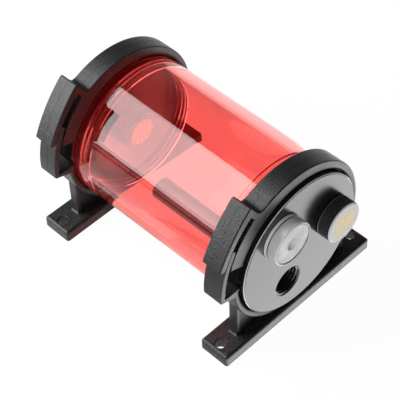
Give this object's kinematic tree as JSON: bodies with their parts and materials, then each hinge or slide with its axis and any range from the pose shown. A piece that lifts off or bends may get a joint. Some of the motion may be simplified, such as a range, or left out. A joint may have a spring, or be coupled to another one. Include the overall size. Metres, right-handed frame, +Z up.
{
  "type": "water cooling reservoir",
  "caption": "Transparent tubular coolant reservoir with screw caps, threaded ports, plugs and a dip tube, held in ratchet ring clips on bolt-down foot bars.",
  "frame": {"origin": "centre of the four foot holes, on the plane the foot bars stand on", "axes": "+X along the foot bars, +Y along the tube from the front cap with the ports to the rear cap, +Z up; the latches are on the -X side"},
  "size_m": [0.0801, 0.1064, 0.0732],
  "materials": {
    "tube_acrylic": "clear red, polished",
    "cap_acetal": "turned, satin",
    "plug_acetal": "knurled, satin face",
    "dip_tube_acetal": "satin",
    "lamp_acrylic": "clear, frosted by turning",
    "clip_nylon": "moulded, fine texture",
    "seal_rubber": "matte"
  },
  "bodies": {
    "frame": {"reservoir_tube": "tube_acrylic", "front_clip_base": "clip_nylon", "rear_clip_base": "clip_nylon"},
    "front_strap": {"front_clip_strap": "clip_nylon"},
    "rear_strap": {"rear_clip_strap": "clip_nylon"},
    "front_cap_seal": {"front_cap_o_ring": "seal_rubber"},
    "front_cap": {"front_cap": "cap_acetal", "dip_tube": "dip_tube_acetal"},
    "rear_cap_seal": {"rear_cap_o_ring": "seal_rubber"},
    "rear_cap": {"rear_cap": "cap_acetal"},
    "fill_plug_seal": {"fill_plug_o_ring": "seal_rubber"},
    "fill_plug": {"fill_plug": "plug_acetal"},
    "lamp_plug_seal": {"lamp_plug_o_ring": "seal_rubber"},
    "lamp_plug": {"lamp_plug": "lamp_acrylic"},
    "rear_plug_seal": {"rear_plug_o_ring": "seal_rubber"},
    "rear_plug": {"rear_plug": "plug_acetal"}
  },
  "joints": [
    {"name": "front_strap_open", "type": "hinge", "parent": "frame", "child": "front_strap", "pos_m": [0.03107, -0.0438, 0.02554], "axis": [0, 1, 0], "range_deg": [0, 30]},
    {"name": "rear_strap_open", "type": "hinge", "parent": "frame", "child": "rear_strap", "pos_m": [0.03107, 0.0438, 0.02554], "axis": [0, 1, 0], "range_deg": [0, 30]},
    {"name": "front_cap_travel", "type": "slide", "parent": "frame", "child": "front_cap_seal", "axis": [0, -1, 0], "range_m": [0, 0.00601]},
    {"name": "front_cap_turn", "type": "hinge", "parent": "front_cap_seal", "child": "front_cap", "pos_m": [0, -0.0497, 0.0354], "axis": [0, -1, 0], "range_deg": [0, 1080]},
    {"name": "rear_cap_travel", "type": "slide", "parent": "frame", "child": "rear_cap_seal", "axis": [0, 1, 0], "range_m": [0, 0.00601]},
    {"name": "rear_cap_turn", "type": "hinge", "parent": "rear_cap_seal", "child": "rear_cap", "pos_m": [0, 0.0497, 0.0354], "axis": [0, 1, 0], "range_deg": [0, 1080]},
    {"name": "fill_plug_travel", "type": "slide", "parent": "front_cap", "child": "fill_plug_seal", "axis": [0, -1, 0], "range_m": [0, 0.00536]},
    {"name": "fill_plug_turn", "type": "hinge", "parent": "fill_plug_seal", "child": "fill_plug", "pos_m": [0.01683, -0.0497, 0.03777], "axis": [0, -1, 0], "range_deg": [0, 1440]},
    {"name": "lamp_plug_travel", "type": "slide", "parent": "front_cap", "child": "lamp_plug_seal", "axis": [0, -1, 0], "range_m": [0, 0.00536]},
    {"name": "lamp_plug_turn", "type": "hinge", "parent": "lamp_plug_seal", "child": "lamp_plug", "pos_m": [-0.01047, -0.0497, 0.0488], "axis": [0, -1, 0], "range_deg": [0, 1440]},
    {"name": "rear_plug_travel", "type": "slide", "parent": "rear_cap", "child": "rear_plug_seal", "axis": [0, -1, 0], "range_m": [0, 0.00536]},
    {"name": "rear_plug_turn", "type": "hinge", "parent": "rear_plug_seal", "child": "rear_plug", "pos_m": [0, 0.0387, 0.0354], "axis": [0, -1, 0], "range_deg": [0, 1440]}
  ],
  "couplings": [
    {"joint": "front_cap_travel", "follows": "front_cap_turn", "m_per_rad": 0.00031831},
    {"joint": "rear_cap_travel", "follows": "rear_cap_turn", "m_per_rad": 0.00031831},
    {"joint": "fill_plug_travel", "follows": "fill_plug_turn", "m_per_rad": 0.00021279},
    {"joint": "lamp_plug_travel", "follows": "lamp_plug_turn", "m_per_rad": 0.00021279},
    {"joint": "rear_plug_travel", "follows": "rear_plug_turn", "m_per_rad": 0.00021279}
  ]
}
